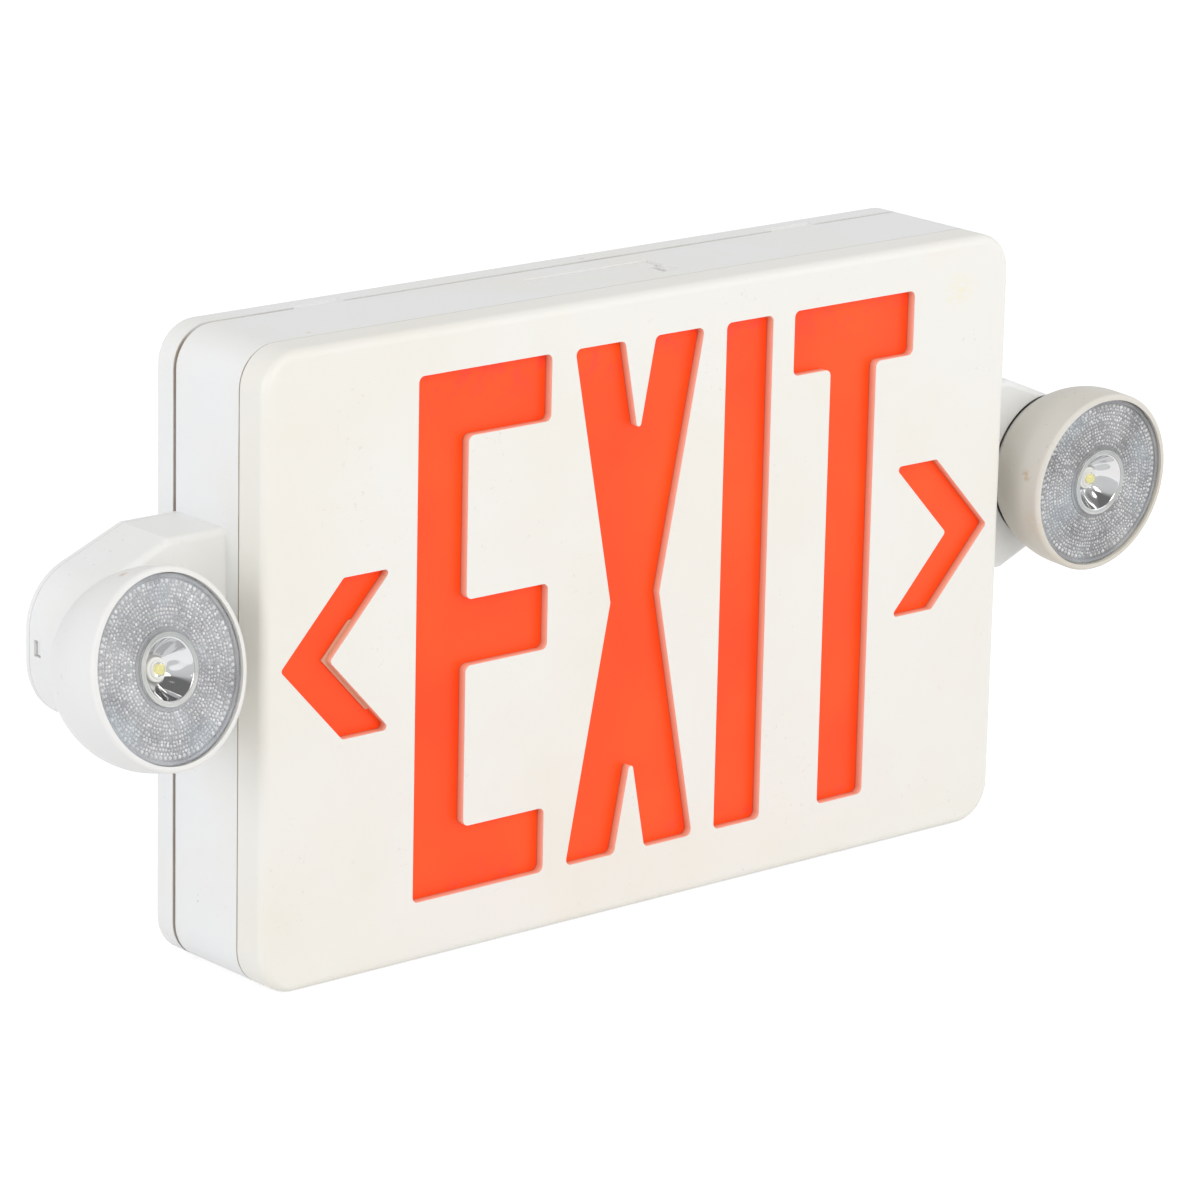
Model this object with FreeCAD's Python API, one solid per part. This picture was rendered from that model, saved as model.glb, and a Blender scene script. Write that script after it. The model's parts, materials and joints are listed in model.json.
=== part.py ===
"""Emergency exit light: a two-sided moulded sign housing with a stencil faceplate, a red legend
panel and two adjustable lamp heads on side arms.

Frame: X to the right as the legend is read, +Y into the wall, +Z up.  The origin is the centre of
the wall-mount hole pattern on the back face, so y = 0 is the wall and the legend faces -Y.
Every size is in millimetres.
"""
import FreeCAD, Part
import math
import os

V = FreeCAD.Vector

# ---------------------------------------------------------------- driving sizes
# housing
WIDTH = 295.5            # faceplate, frame and back cover share one outline
HEIGHT = 194.2
DEPTH = 52.0             # wall to legend face
CORNER_R = 12.5          # corners of that outline
WALL = 2.2               # moulded wall
BACK_DEPTH = 8.2         # rim of the back cover
SHADOW_GAP = 1.2         # open joint between back cover and frame
FACE_DEPTH = 12.0        # rim of the faceplate
FACE_SEAM = 0.3          # closed joint between frame and faceplate
FACE_T = 3.2             # stencil thickness
FACE_EDGE_R = 2.85       # rounded front edge
BACK_EDGE_R = 0.8
FIT = 0.15               # clearance round every tongue, plug and panel
TONGUE = 3.6             # reach of the locating tongues
TONGUE_T = 1.6
SEAT = 0.25              # play of a piece that rests on its seat

# legend
LETTER_H = 161.5
STROKE_V = 19.05         # upright strokes
STROKE_H = 20.5          # level strokes
LETTER_W = 50.5
X_W = 51.4
X_STROKE = 19.6
T_STEM = 19.3
LETTER_GAP = 8.85
LEGEND_X = 7.45          # centre of the legend, right of the housing's centre
LEGEND_Z = 2.4
LETTER_R = 2.0           # rounded corners of the cut-outs
NOTCH_R = 0.9
CHEVRON_EDGE = 6.15      # tip to the side of the housing
CHEVRON_STROKE = 18.0
CHEVRON_HALF = 24.6
CHEVRON_SLOPE = 1.073
CHEVRON_R = 1.2
FLASH_T = 0.8            # knock-out web left at the back of the chevrons
FLASH_W = 1.3
LENS_T = 1.8             # red legend panel
LENS_INSET = 1.0

# back cover
HOLE_SPACING = 88.9      # screws of a ceiling or wall box
HOLE_R = 2.4
WIRE_HOLE_R = 11.1
KEYHOLE_X = 95.0
KEYHOLE_Z = 52.0
KEYHOLE_R = 4.6
KEYHOLE_SLOT_R = 2.3
KEYHOLE_RISE = 9.0
SCOOP_X = 94.5           # pry scoops in the top edge
SCOOP_W = 19.0
SCOOP_H = 2.0
SCOOP_D = 3.4
KNOCKOUT_R = 5.2         # thinned discs of the universal box pattern
KNOCKOUT_RING = 0.8
KNOCKOUT_DEPTH = 1.2
KNOCKOUT_CIRCLE = 31.5

# canopy opening in the top of the frame
CANOPY_W = 49.5
CANOPY_D = 15.6
CANOPY_Y = -25.6
CANOPY_R = 1.2
CANOPY_LIP = 1.6

# side arms
ARM_Z = 10.9             # centre height of arms and lamp heads
ARM_FRONT = 33.8         # front face, measured from the wall
ARM_COVER_T = 1.8
ARM_HALF = 31.5
ARM_FLAT = 20.0          # level part next to the housing
ARM_REACH = 53.2
ARM_TAPER = 22.5         # degrees
ARM_END_R = 20.0
ARM_EDGE_R = 2.2
ARM_PORT_R = 7.0         # wire port into the frame
ARM_SPIGOT = 3.0
SNAP_W = 3.2
SNAP_H = 4.9
SNAP_FROM_BACK = 7.2

# lamp heads
HEAD_OUT = 38.5          # ball centre, out from the housing side
BALL_R = 29.5
BALL_PROUD = 17.7        # ball centre, in front of the arm
BALL_GAP = 0.6
HEAD_WALL = 2.0
HEAD_FRONT = 7.3         # front rim, in front of the ball centre
HEAD_EDGE_R = 1.1
LAMP_RIM = 2.05          # wall of the barrel round the clear lens
LAMP_T = 2.0
LAMP_RECESS = 0.6
LEDGE_W = 1.6
LEDGE_T = 1.4
LED_BOARD_FIT = 1.9      # lamp board to the inside of the ball
LED_BOARD_T = 1.6
LED_BOARD_Y = 3.0        # front of the board, behind the ball centre
OPTIC_R = 10.9
OPTIC_BORE_R = 9.0
OPTIC_BASE_R = 4.4
OPTIC_LIP = 1.2
LED_SIZE = 5.0
LED_T = 1.3
LED_DOME_R = 1.9
LUG_COUNT = 4
LUG_SPAN = 14.0          # degrees
LUG_DEPTH = 1.4

# swivel of the lamp heads
STUD_R = 3.0
STUD_FIT = 0.05
SLOT_FIT = 0.4
CAP_ANGLE = 17.0         # half angle of the inner spherical washer
CAP_T = 2.0
SLIDE_FIT = 0.25
NUT_T = 2.6
NUT_FLATS = 10.0
SPRING_T = 1.0
SPRING_R = 6.2
BOSS_R = 7.5
BOSS_T = 1.0
TILT_MAX = 20.0
LEFT_TILT = 14.3         # pose of the two heads at rest, in degrees
LEFT_TURN = -27.8
RIGHT_TILT = -3.5
RIGHT_TURN = 9.5

# parts on the back cover
BOARD_W = 108.0
BOARD_H = 52.0
BOARD_T = 1.6
BOARD_SIDE = 19.75       # board to the right side of the housing
BOARD_FOOT = 13.1        # board to the underside
STANDOFF = 7.0
STANDOFF_R = 3.0
STANDOFF_INSET = 5.0
SCREW_R = 1.4
SCREW_HEAD_R = 2.7
SCREW_HEAD_T = 1.8
SCREW_BITE = 4.0
TRAFO_W, TRAFO_H, TRAFO_T = 34.0, 30.0, 22.0
CAP_CAN_R, CAP_CAN_T = 5.0, 14.0
RELAY_W, RELAY_H, RELAY_T = 19.0, 15.0, 13.0
TERMINAL_W, TERMINAL_H, TERMINAL_T = 24.0, 10.0, 11.0
CELL_R = 7.1
CELL_L = 49.0
CELLS = 3
PACK_SIDE = 36.75        # battery pack to the left side of the housing
PACK_FOOT = 7.85         # lower strap foot to the underside
STRAP_T = 1.5
STRAP_W = 12.0
STRAP_FOOT = 9.0
STRAP_PLAY = 2.2
STRAP_POST = 5.0
STRAP_POST_R = 3.6
PAD_T = 0.8
STRIP_L = 236.0
STRIP_W = 8.0
STRIP_T = 1.6
STRIP_LEDS = 12
STRIP_LED = 3.2
STRIP_LED_T = 1.6
STRIP_Y = -31.0
STRIP_DROP = 1.4         # air above the strip, clear of the canopy plug
RAIL = 1.4
RAIL_LIP = 0.9

# test button and status light in the underside
BUTTON_SIDE = 55.75      # button to the right side of the housing
BUTTON_Y = -19.0
BUTTON_R = 4.2
BUTTON_SINK = 0.5
BUTTON_TRAVEL = 2.0
BUTTON_FLANGE = 1.3
BUTTON_LEN = 9.0
BUTTON_FIT = 0.08
STATUS_PITCH = 16.0
STATUS_R = 2.5

# ---------------------------------------------------------------- derived places
HALF_W, HALF_H = WIDTH / 2, HEIGHT / 2
FRAME_BACK = -(BACK_DEPTH + SHADOW_GAP)
FRAME_FRONT = -(DEPTH - FACE_DEPTH - FACE_SEAM)
FACE_BACK = -(DEPTH - FACE_DEPTH)
LENS_FRONT = -(DEPTH - FACE_T)
INNER = WALL + FIT                       # where a tongue starts, in from the outline
BALL_X = HALF_W + HEAD_OUT
BALL_Y = -(ARM_FRONT + BALL_PROUD)
CRADLE_R = BALL_R + BALL_GAP
BALL_IN = BALL_R - HEAD_WALL
ARM_BACK = FRAME_BACK
BOARD_Y = -(WALL + STANDOFF)
CHEVRON_TIP = HALF_W - CHEVRON_EDGE
LAMP_R = BALL_R - LAMP_RIM
LED_BOARD_R = BALL_IN - LED_BOARD_FIT
BOARD_X = HALF_W - BOARD_SIDE - BOARD_W / 2
BOARD_Z = BOARD_FOOT + BOARD_H / 2 - HALF_H
BUTTON_X = HALF_W - BUTTON_SIDE
STATUS_X = BUTTON_X + STATUS_PITCH
STRAP_BOW = CELLS * CELL_R + SEAT + STRAP_PLAY    # inside half height of the strap's bow
PACK_X = PACK_SIDE + CELL_L - HALF_W
PACK_Z = PACK_FOOT + STRAP_BOW + STRAP_T + STRAP_FOOT - HALF_H


# ---------------------------------------------------------------- construction helpers
def box(x0, x1, y0, y1, z0, z1):
    """Block between two opposite corners."""
    return Part.makeBox(x1 - x0, y1 - y0, z1 - z0, V(x0, y0, z0))


def cyl(r, h, base, axis):
    return Part.makeCylinder(r, h, V(*base), V(*axis))


def rounded(points, radii):
    """Closed wire in the XZ plane through the points, each corner turned by a tangent arc."""
    n = len(points)
    if not isinstance(radii, (list, tuple)):
        radii = [radii] * n
    arcs = []
    for i in range(n):
        p = V(points[i][0], 0, points[i][1])
        a = V(points[i - 1][0], 0, points[i - 1][1]) - p
        b = V(points[(i + 1) % n][0], 0, points[(i + 1) % n][1]) - p
        a.normalize()
        b.normalize()
        if radii[i] <= 0:
            arcs.append((p, None, p))
            continue
        half = a.getAngle(b) / 2
        reach = radii[i] / math.tan(half)
        bisector = a + b
        bisector.normalize()
        mid = p + bisector * (radii[i] / math.sin(half) - radii[i])
        arcs.append((p + a * reach, mid, p + b * reach))
    edges = []
    for i in range(n):
        start, mid, end = arcs[i]
        if mid is not None:
            edges.append(Part.Arc(start, mid, end).toShape())
        edges.append(Part.LineSegment(end, arcs[(i + 1) % n][0]).toShape())
    return Part.Wire(edges)


def prism(points, radii, y0, y1):
    """Solid with the rounded XZ outline between two depths."""
    solid = Part.Face(rounded(points, radii)).extrude(V(0, y1 - y0, 0))
    solid.translate(V(0, y0, 0))
    return solid


def rect(inset=0.0):
    """Corner points of the housing outline, moved in by the inset."""
    w, h = HALF_W - inset, HALF_H - inset
    return [(-w, -h), (w, -h), (w, h), (-w, h)]


def slab(inset, y0, y1):
    return prism(rect(inset), max(CORNER_R - inset, 0.5), y0, y1)


def ring(outer, inner, y0, y1):
    """Rim between two insets of the housing outline."""
    return slab(outer, y0, y1).cut(slab(inner, y0, y1))


def revolve_y(profile):
    """Solid of revolution about the Y axis from (radius, y) points; a 3-point entry is an arc
    given as (middle radius, middle y, end marker)."""
    edges = []
    pts = [p for p in profile]
    i = 0
    while i < len(pts):
        p = pts[i]
        q = pts[(i + 1) % len(pts)]
        if len(q) == 3:
            r = pts[(i + 2) % len(pts)]
            edges.append(Part.Arc(V(p[0], p[1], 0), V(q[0], q[1], 0), V(r[0], r[1], 0)).toShape())
            i += 2
        else:
            edges.append(Part.LineSegment(V(p[0], p[1], 0), V(q[0], q[1], 0)).toShape())
            i += 1
    face = Part.Face(Part.Wire(edges))
    return face.revolve(V(0, 0, 0), V(0, 1, 0), 360)


def fuse(shapes):
    out = shapes[0]
    if len(shapes) > 1:
        out = out.multiFuse(shapes[1:])
    return out.removeSplitter()


def cut(body, tools):
    return body.cut(tools) if tools else body


def mirrored(shape):
    return shape.mirror(V(0, 0, 0), V(1, 0, 0))


def round_loop(solid, y, r):
    """Round the outer edge loop of a solid that lies in the plane y."""
    edges = [e for e in solid.Edges if abs(e.BoundBox.YMin - y) < 1e-6 and abs(e.BoundBox.YMax - y) < 1e-6]
    return solid.makeFillet(r, edges)


# ---------------------------------------------------------------- legend outlines
def letter_e(x):
    h, s, w, v = LETTER_H / 2, STROKE_H, LETTER_W, STROKE_V
    m = s / 2
    return [(x, -h), (x + w, -h), (x + w, s - h), (x + v, s - h), (x + v, -m), (x + w, -m),
            (x + w, m), (x + v, m), (x + v, h - s), (x + w, h - s), (x + w, h), (x, h)], LETTER_R


def letter_x(x):
    h, half, s = LETTER_H / 2, X_W / 2, X_STROKE / 2
    lean = (half - s) / h
    notch = s / lean
    c = x + half
    pts = [(c - half, -h), (c - half + 2 * s, -h), (c, -notch), (c + half - 2 * s, -h), (c + half, -h),
           (c + s, 0), (c + half, h), (c + half - 2 * s, h), (c, notch), (c - half + 2 * s, h),
           (c - half, h), (c - s, 0)]
    r = [LETTER_R, LETTER_R, NOTCH_R, LETTER_R, LETTER_R, LETTER_R] * 2
    return pts, r


def letter_i(x):
    h = LETTER_H / 2
    return [(x, -h), (x + STROKE_V, -h), (x + STROKE_V, h), (x, h)], LETTER_R


def letter_t(x):
    h, w, s = LETTER_H / 2, LETTER_W, STROKE_H
    c, t = x + w / 2, T_STEM / 2
    return [(c - t, -h), (c + t, -h), (c + t, h - s), (x + w, h - s), (x + w, h), (x, h), (x, h - s),
            (c - t, h - s)], LETTER_R


def legend():
    """Outlines of the four letters from left to right."""
    total = 2 * LETTER_W + X_W + STROKE_V + 3 * LETTER_GAP
    x = LEGEND_X - total / 2
    out = []
    for letter, width in ((letter_e, LETTER_W), (letter_x, X_W), (letter_i, STROKE_V), (letter_t, LETTER_W)):
        out.append(letter(x))
        x += width + LETTER_GAP
    return out


def chevron(side, grow=0.0):
    """Arrow outline that points away from the legend; grow moves its inner edge inwards."""
    run = CHEVRON_HALF / CHEVRON_SLOPE
    tip, inner = CHEVRON_TIP, CHEVRON_TIP - CHEVRON_STROKE + grow
    pts = [(tip, 0), (tip - run, CHEVRON_HALF), (inner - run, CHEVRON_HALF), (inner, 0),
           (inner - run, -CHEVRON_HALF), (tip - run, -CHEVRON_HALF)]
    return [(side * x, z) for x, z in pts]


# ---------------------------------------------------------------- housing
def build_faceplate():
    """Stencil faceplate: a shallow tray with the legend and two chevrons cut through it."""
    tray = round_loop(slab(0, -DEPTH, FACE_BACK), -DEPTH, FACE_EDGE_R)
    tray = tray.cut(slab(WALL, LENS_FRONT, FACE_BACK))
    tools = []
    for pts, r in legend():
        tools.append(prism([(x, z + LEGEND_Z) for x, z in pts], r, -DEPTH - 1, LENS_FRONT))
    for side in (-1, 1):
        tools.append(prism([(x, z + LEGEND_Z) for x, z in chevron(side)], CHEVRON_R, -DEPTH - 1, LENS_FRONT))
    tray = tray.cut(tools)
    extra = []
    # broken web along the lower inner edge of each chevron
    for side in (-1, 1):
        web = prism([(x, z + LEGEND_Z) for x, z in chevron(side)], CHEVRON_R, LENS_FRONT - FLASH_T, LENS_FRONT)
        web = web.cut(prism([(x, z + LEGEND_Z) for x, z in chevron(side, FLASH_W)], 0,
                            LENS_FRONT - FLASH_T - 1, LENS_FRONT + 1))
        x_in = side * (CHEVRON_TIP - CHEVRON_STROKE)
        reach = CHEVRON_HALF * 0.72
        keep = box(min(x_in - side * 30, x_in + side * 2), max(x_in - side * 30, x_in + side * 2),
                   LENS_FRONT - FLASH_T, LENS_FRONT, LEGEND_Z - reach, LEGEND_Z + reach * 0.6)
        extra.append(web.common(keep))
    # ribs that square the red panel in the tray, and the snap lugs behind them
    post = 5.0
    for sx in (-1, 1):
        for z in (-HALF_H / 2, HALF_H / 2):
            x0, x1 = sorted((sx * (HALF_W - WALL - LENS_INSET), sx * (HALF_W - WALL + 0.2)))
            extra.append(box(x0, x1, LENS_FRONT, FRAME_FRONT - TONGUE - 0.6, z - post, z + post))
    return fuse([tray] + [e for e in extra if e.Volume > 0])


def build_lens():
    """Red translucent panel behind the stencil."""
    inset = WALL + LENS_INSET + FIT
    return slab(inset, LENS_FRONT, LENS_FRONT + LENS_T)


def build_frame():
    """Middle rim with the tongue for the faceplate, wire ports, canopy opening and rails."""
    rim = ring(0, WALL, FRAME_FRONT, FRAME_BACK)
    tongue = ring(INNER, INNER + TONGUE_T, FRAME_FRONT - TONGUE, FRAME_FRONT + TONGUE)
    tie = ring(WALL - 0.2, INNER + TONGUE_T, FRAME_FRONT + 0.4, FRAME_FRONT + TONGUE)
    parts = [rim, tongue, tie]
    # rails that carry the two light strips
    inner_z = HALF_H - WALL
    for sz in (-1, 1):
        for sy in (-1, 1):
            y = STRIP_Y + sy * (STRIP_W / 2 + FIT + RAIL / 2)
            low = inner_z - STRIP_DROP - STRIP_T - SEAT
            z0, z1 = sorted((sz * (inner_z + 0.2), sz * (low - RAIL_LIP)))
            parts.append(box(-STRIP_L / 2, STRIP_L / 2, y - RAIL / 2, y + RAIL / 2, z0, z1))
            z0, z1 = sorted((sz * low, sz * (low - RAIL_LIP)))
            y0, y1 = sorted((y, y - sy * (RAIL / 2 + FIT + RAIL_LIP)))
            parts.append(box(-STRIP_L / 2, STRIP_L / 2, y0, y1, z0, z1))
    rim = fuse(parts)
    tools = []
    # canopy opening with the step its plug rests on
    tools.append(box(-CANOPY_W / 2, CANOPY_W / 2, CANOPY_Y - CANOPY_D / 2, CANOPY_Y + CANOPY_D / 2,
                     HALF_H - WALL / 2, HALF_H + 1))
    w, d = CANOPY_W / 2 - CANOPY_LIP, CANOPY_D / 2 - CANOPY_LIP
    tools.append(box(-w, w, CANOPY_Y - d, CANOPY_Y + d, HALF_H - WALL - 1, HALF_H))
    for side in (-1, 1):
        y = (ARM_BACK - ARM_FRONT) / 2
        tools.append(cyl(ARM_PORT_R + FIT, WALL + 2, (side * (HALF_W + 1), y, ARM_Z), (-side, 0, 0)))
    tools.append(cyl(BUTTON_R + BUTTON_FIT, WALL + 2, (BUTTON_X, BUTTON_Y, -HALF_H - 1), (0, 0, 1)))
    tools.append(cyl(STATUS_R + FIT, WALL + 2, (STATUS_X, BUTTON_Y, -HALF_H - 1), (0, 0, 1)))
    return rim.cut(tools)


def build_back():
    """Back cover: a shallow tray with the box pattern, keyholes, pry scoops and board posts."""
    tray = round_loop(slab(0, -BACK_DEPTH, 0), 0, BACK_EDGE_R)
    tray = tray.cut(slab(WALL, -BACK_DEPTH, -WALL))
    tongue = ring(INNER, INNER + TONGUE_T, FRAME_BACK - TONGUE, -WALL)
    tie = ring(WALL - 0.2, INNER + TONGUE_T, -BACK_DEPTH, -WALL)
    parts = [tray, tongue, tie]
    for x, z in board_corners():
        parts.append(cyl(STANDOFF_R, STANDOFF + 0.2, (x, -WALL + 0.2, z), (0, -1, 0)))
    for x, z in strap_feet():
        parts.append(cyl(STRAP_POST_R, STRAP_POST + 0.2, (x, -WALL + 0.2, z), (0, -1, 0)))
    # cradle ribs under the battery cells
    pack = pack_box()
    rib = 1.6
    for x in (pack[0] + 6, pack[1] - 6):
        for z0, z1 in ((pack[2] - rib - SEAT, pack[2] - SEAT), (pack[3] + SEAT, pack[3] + rib + SEAT)):
            parts.append(box(x - 3, x + 3, -WALL - CELL_R, -WALL + 0.2, z0, z1))
    cover = fuse(parts)
    tools = [cyl(WIRE_HOLE_R, WALL + 2, (0, 1, 0), (0, -1, 0))]
    for side in (-1, 1):
        tools.append(cyl(HOLE_R, WALL + 2, (side * HOLE_SPACING / 2, 1, 0), (0, -1, 0)))
        x = side * KEYHOLE_X
        tools.append(cyl(KEYHOLE_R, WALL + 2, (x, 1, KEYHOLE_Z), (0, -1, 0)))
        tools.append(cyl(KEYHOLE_SLOT_R, WALL + 2, (x, 1, KEYHOLE_Z + KEYHOLE_RISE), (0, -1, 0)))
        tools.append(box(x - KEYHOLE_SLOT_R, x + KEYHOLE_SLOT_R, -WALL - 1, 1, KEYHOLE_Z, KEYHOLE_Z + KEYHOLE_RISE))
        # pry scoop: a sloped bite out of the top front edge
        sx = side * SCOOP_X
        half = SCOOP_W / 2
        bite = Part.makePolygon([V(sx - half, -BACK_DEPTH, HALF_H - SCOOP_H), V(sx - half, -BACK_DEPTH, HALF_H + 1),
                                 V(sx - half, -BACK_DEPTH + SCOOP_D, HALF_H + 1),
                                 V(sx - half, -BACK_DEPTH + SCOOP_D, HALF_H - SCOOP_H * 0.3),
                                 V(sx - half, -BACK_DEPTH, HALF_H - SCOOP_H)])
        tools.append(Part.Face(bite).extrude(V(SCOOP_W, 0, 0)))
    # thinned knock-out rings around the wire hole
    for k in range(4):
        a = math.radians(45 + 90 * k)
        c = (KNOCKOUT_CIRCLE * math.cos(a), 0.5, KNOCKOUT_CIRCLE * math.sin(a))
        groove = cyl(KNOCKOUT_R, KNOCKOUT_DEPTH + 0.5, c, (0, -1, 0))
        tools.append(groove.cut(cyl(KNOCKOUT_R - KNOCKOUT_RING, KNOCKOUT_DEPTH + 1, c, (0, -1, 0))))
    # screw pilot holes in the posts
    for y, places in ((BOARD_Y, board_corners()), (-(WALL + STRAP_POST), strap_feet())):
        for x, z in places:
            tools.append(cyl(SCREW_R, SCREW_BITE + 0.5, (x, y, z), (0, 1, 0)))
    return cover.cut(tools)


def build_canopy_plug():
    """Flush plug that closes the canopy opening in the top."""
    w, d = CANOPY_W / 2 - FIT, CANOPY_D / 2 - FIT
    plug = box(-w, w, CANOPY_Y - d, CANOPY_Y + d, HALF_H - WALL / 2, HALF_H)
    plug = plug.makeFillet(CANOPY_R, [e for e in plug.Edges if e.BoundBox.ZLength > WALL / 4])
    w, d = w - CANOPY_LIP, d - CANOPY_LIP
    return fuse([plug, box(-w, w, CANOPY_Y - d, CANOPY_Y + d, HALF_H - WALL - 1, HALF_H - WALL / 2)])


# ---------------------------------------------------------------- electrical parts
def board_corners():
    w, h = BOARD_W / 2 - STANDOFF_INSET, BOARD_H / 2 - STANDOFF_INSET
    return [(BOARD_X + sx * w, BOARD_Z + sz * h) for sx in (-1, 1) for sz in (-1, 1)]


def pack_box():
    """x and z limits of the battery pack."""
    w, h = CELL_L, CELL_R * 2 * CELLS / 2
    return PACK_X - w, PACK_X + w, PACK_Z - h, PACK_Z + h


def strap_feet():
    """Screw places of the strap's two feet."""
    reach = STRAP_BOW + STRAP_T + STRAP_FOOT / 2
    return [(PACK_X, PACK_Z - reach), (PACK_X, PACK_Z + reach)]


def build_board():
    y = BOARD_Y
    board = box(BOARD_X - BOARD_W / 2, BOARD_X + BOARD_W / 2, y - BOARD_T, y,
                BOARD_Z - BOARD_H / 2, BOARD_Z + BOARD_H / 2)
    holes = [cyl(SCREW_R + 0.2, BOARD_T + 2, (x, y + 1, z), (0, -1, 0)) for x, z in board_corners()]
    return board.cut(holes)


def build_trafo():
    """Laminated core with the bobbin showing at both sides."""
    x, z, y = BOARD_X - BOARD_W / 4, BOARD_Z, BOARD_Y - BOARD_T
    core = box(x - TRAFO_W / 2, x + TRAFO_W / 2, y - TRAFO_T, y, z - TRAFO_H / 2 + 5, z + TRAFO_H / 2 - 5)
    bobbin = box(x - TRAFO_W / 4, x + TRAFO_W / 4, y - TRAFO_T + 4, y, z - TRAFO_H / 2, z + TRAFO_H / 2)
    bobbin = bobbin.makeFillet(2.0, [e for e in bobbin.Edges if e.BoundBox.YLength > TRAFO_T / 2])
    return fuse([core, bobbin])


def on_board(dx, dz):
    return BOARD_X + dx, BOARD_Y - BOARD_T, BOARD_Z + dz


def build_capacitor():
    x, y, z = on_board(18, -12)
    can = cyl(CAP_CAN_R, CAP_CAN_T, (x, y, z), (0, -1, 0))
    return can.makeFillet(0.6, [e for e in can.Edges if abs(e.BoundBox.YMax - (y - CAP_CAN_T)) < 1e-6])


def build_relay():
    x, y, z = on_board(20, 11)
    block = box(x - RELAY_W / 2, x + RELAY_W / 2, y - RELAY_T, y, z - RELAY_H / 2, z + RELAY_H / 2)
    return block.makeChamfer(0.6, [e for e in block.Edges if abs(e.BoundBox.YMax - (y - RELAY_T)) < 1e-6])


def build_terminal():
    """Screw terminal for the supply, open at the wells."""
    x, y, z = on_board(37, -2)
    block = box(x - TERMINAL_H / 2, x + TERMINAL_H / 2, y - TERMINAL_T, y, z - TERMINAL_W / 2, z + TERMINAL_W / 2)
    wells = [cyl(2.2, 5, (x, y - TERMINAL_T - 1, z + (k - 1) * TERMINAL_W / 3), (0, 1, 0)) for k in range(3)]
    return block.cut(wells)


def build_screw(x, y, z, grip):
    """Pan-head screw whose head seats at depth y and whose shank passes the grip into a post."""
    head = cyl(SCREW_HEAD_R, SCREW_HEAD_T, (x, y, z), (0, -1, 0))
    head = head.makeFillet(0.7, [e for e in head.Edges if abs(e.BoundBox.YMax - (y - SCREW_HEAD_T)) < 1e-6])
    shank = cyl(SCREW_R - 0.05, grip + SCREW_BITE, (x, y - 0.1, z), (0, 1, 0))
    arm, slot, deep = SCREW_HEAD_R * 0.56, 0.3, SCREW_HEAD_T / 2
    top = y - SCREW_HEAD_T
    cross = [box(x - arm, x + arm, top, top + deep, z - slot, z + slot),
             box(x - slot, x + slot, top, top + deep, z - arm, z + arm)]
    return fuse([head, shank]).cut(cross)


def build_battery():
    """Six cells in two rows, shrink-wrapped into one pack."""
    cells = []
    x0 = PACK_X - CELL_L
    for row in range(2):
        for k in range(CELLS):
            z = PACK_Z + (k - (CELLS - 1) / 2) * 2 * CELL_R
            x = x0 + row * CELL_L
            cells.append(cyl(CELL_R, CELL_L, (x, -(WALL + PAD_T + CELL_R), z), (1, 0, 0)))
    z_half = (CELLS - 1) * CELL_R
    web = box(x0, x0 + 2 * CELL_L, -(WALL + PAD_T + 2 * CELL_R - 1.2), -(WALL + PAD_T + 1.2),
              PACK_Z - z_half, PACK_Z + z_half)
    return fuse(cells + [web])


def build_pad():
    """Foam pad between the battery and the back cover."""
    return box(PACK_X - CELL_L * 0.8, PACK_X + CELL_L * 0.8, -(WALL + PAD_T), -WALL,
               PACK_Z - CELL_R, PACK_Z + CELL_R)


def build_strap():
    """Bent strap over the pack, screwed at both feet to the posts beside it."""
    top = WALL + PAD_T + 2 * CELL_R + SEAT
    half = STRAP_BOW
    foot = -(WALL + STRAP_POST)
    x0, x1 = PACK_X - STRAP_W / 2, PACK_X + STRAP_W / 2
    outer = box(x0, x1, -(top + STRAP_T), foot, PACK_Z - half - STRAP_T, PACK_Z + half + STRAP_T)
    bow = outer.cut(box(x0 - 1, x1 + 1, -top, foot + 1, PACK_Z - half, PACK_Z + half))
    feet = []
    for s in (-1, 1):
        z0, z1 = sorted((PACK_Z + s * half, PACK_Z + s * (half + STRAP_T + STRAP_FOOT)))
        feet.append(box(x0, x1, foot - STRAP_T, foot, z0, z1))
    strap = fuse([bow] + feet)
    return strap.cut([cyl(SCREW_R + 0.2, STRAP_T + 2, (x, foot + 1, z), (0, -1, 0)) for x, z in strap_feet()])


def build_strip(sz):
    """Light strip: a narrow board with a row of packages that shine towards the middle."""
    z_wall = HALF_H - WALL - STRIP_DROP
    z0, z1 = sorted((sz * z_wall, sz * (z_wall - STRIP_T)))
    parts = [box(-STRIP_L / 2, STRIP_L / 2, STRIP_Y - STRIP_W / 2, STRIP_Y + STRIP_W / 2, z0, z1)]
    pitch = STRIP_L / STRIP_LEDS
    for k in range(STRIP_LEDS):
        x = (k - (STRIP_LEDS - 1) / 2) * pitch
        a, b = sorted((sz * (z_wall - STRIP_T + 0.1), sz * (z_wall - STRIP_T - STRIP_LED_T)))
        parts.append(box(x - STRIP_LED / 2, x + STRIP_LED / 2, STRIP_Y - STRIP_LED / 2, STRIP_Y + STRIP_LED / 2, a, b))
    return fuse(parts)


def build_button():
    """Round push button, sunk just inside the underside, with a flange behind the wall."""
    z0 = -HALF_H + BUTTON_SINK
    stem = cyl(BUTTON_R, BUTTON_LEN, (BUTTON_X, BUTTON_Y, z0), (0, 0, 1))
    stem = stem.makeFillet(0.5, [e for e in stem.Edges if abs(e.BoundBox.ZMax - z0) < 1e-6])
    flange = cyl(BUTTON_R + BUTTON_FLANGE, 1.2, (BUTTON_X, BUTTON_Y, -HALF_H + WALL + SEAT), (0, 0, 1))
    return fuse([stem, flange])


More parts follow.
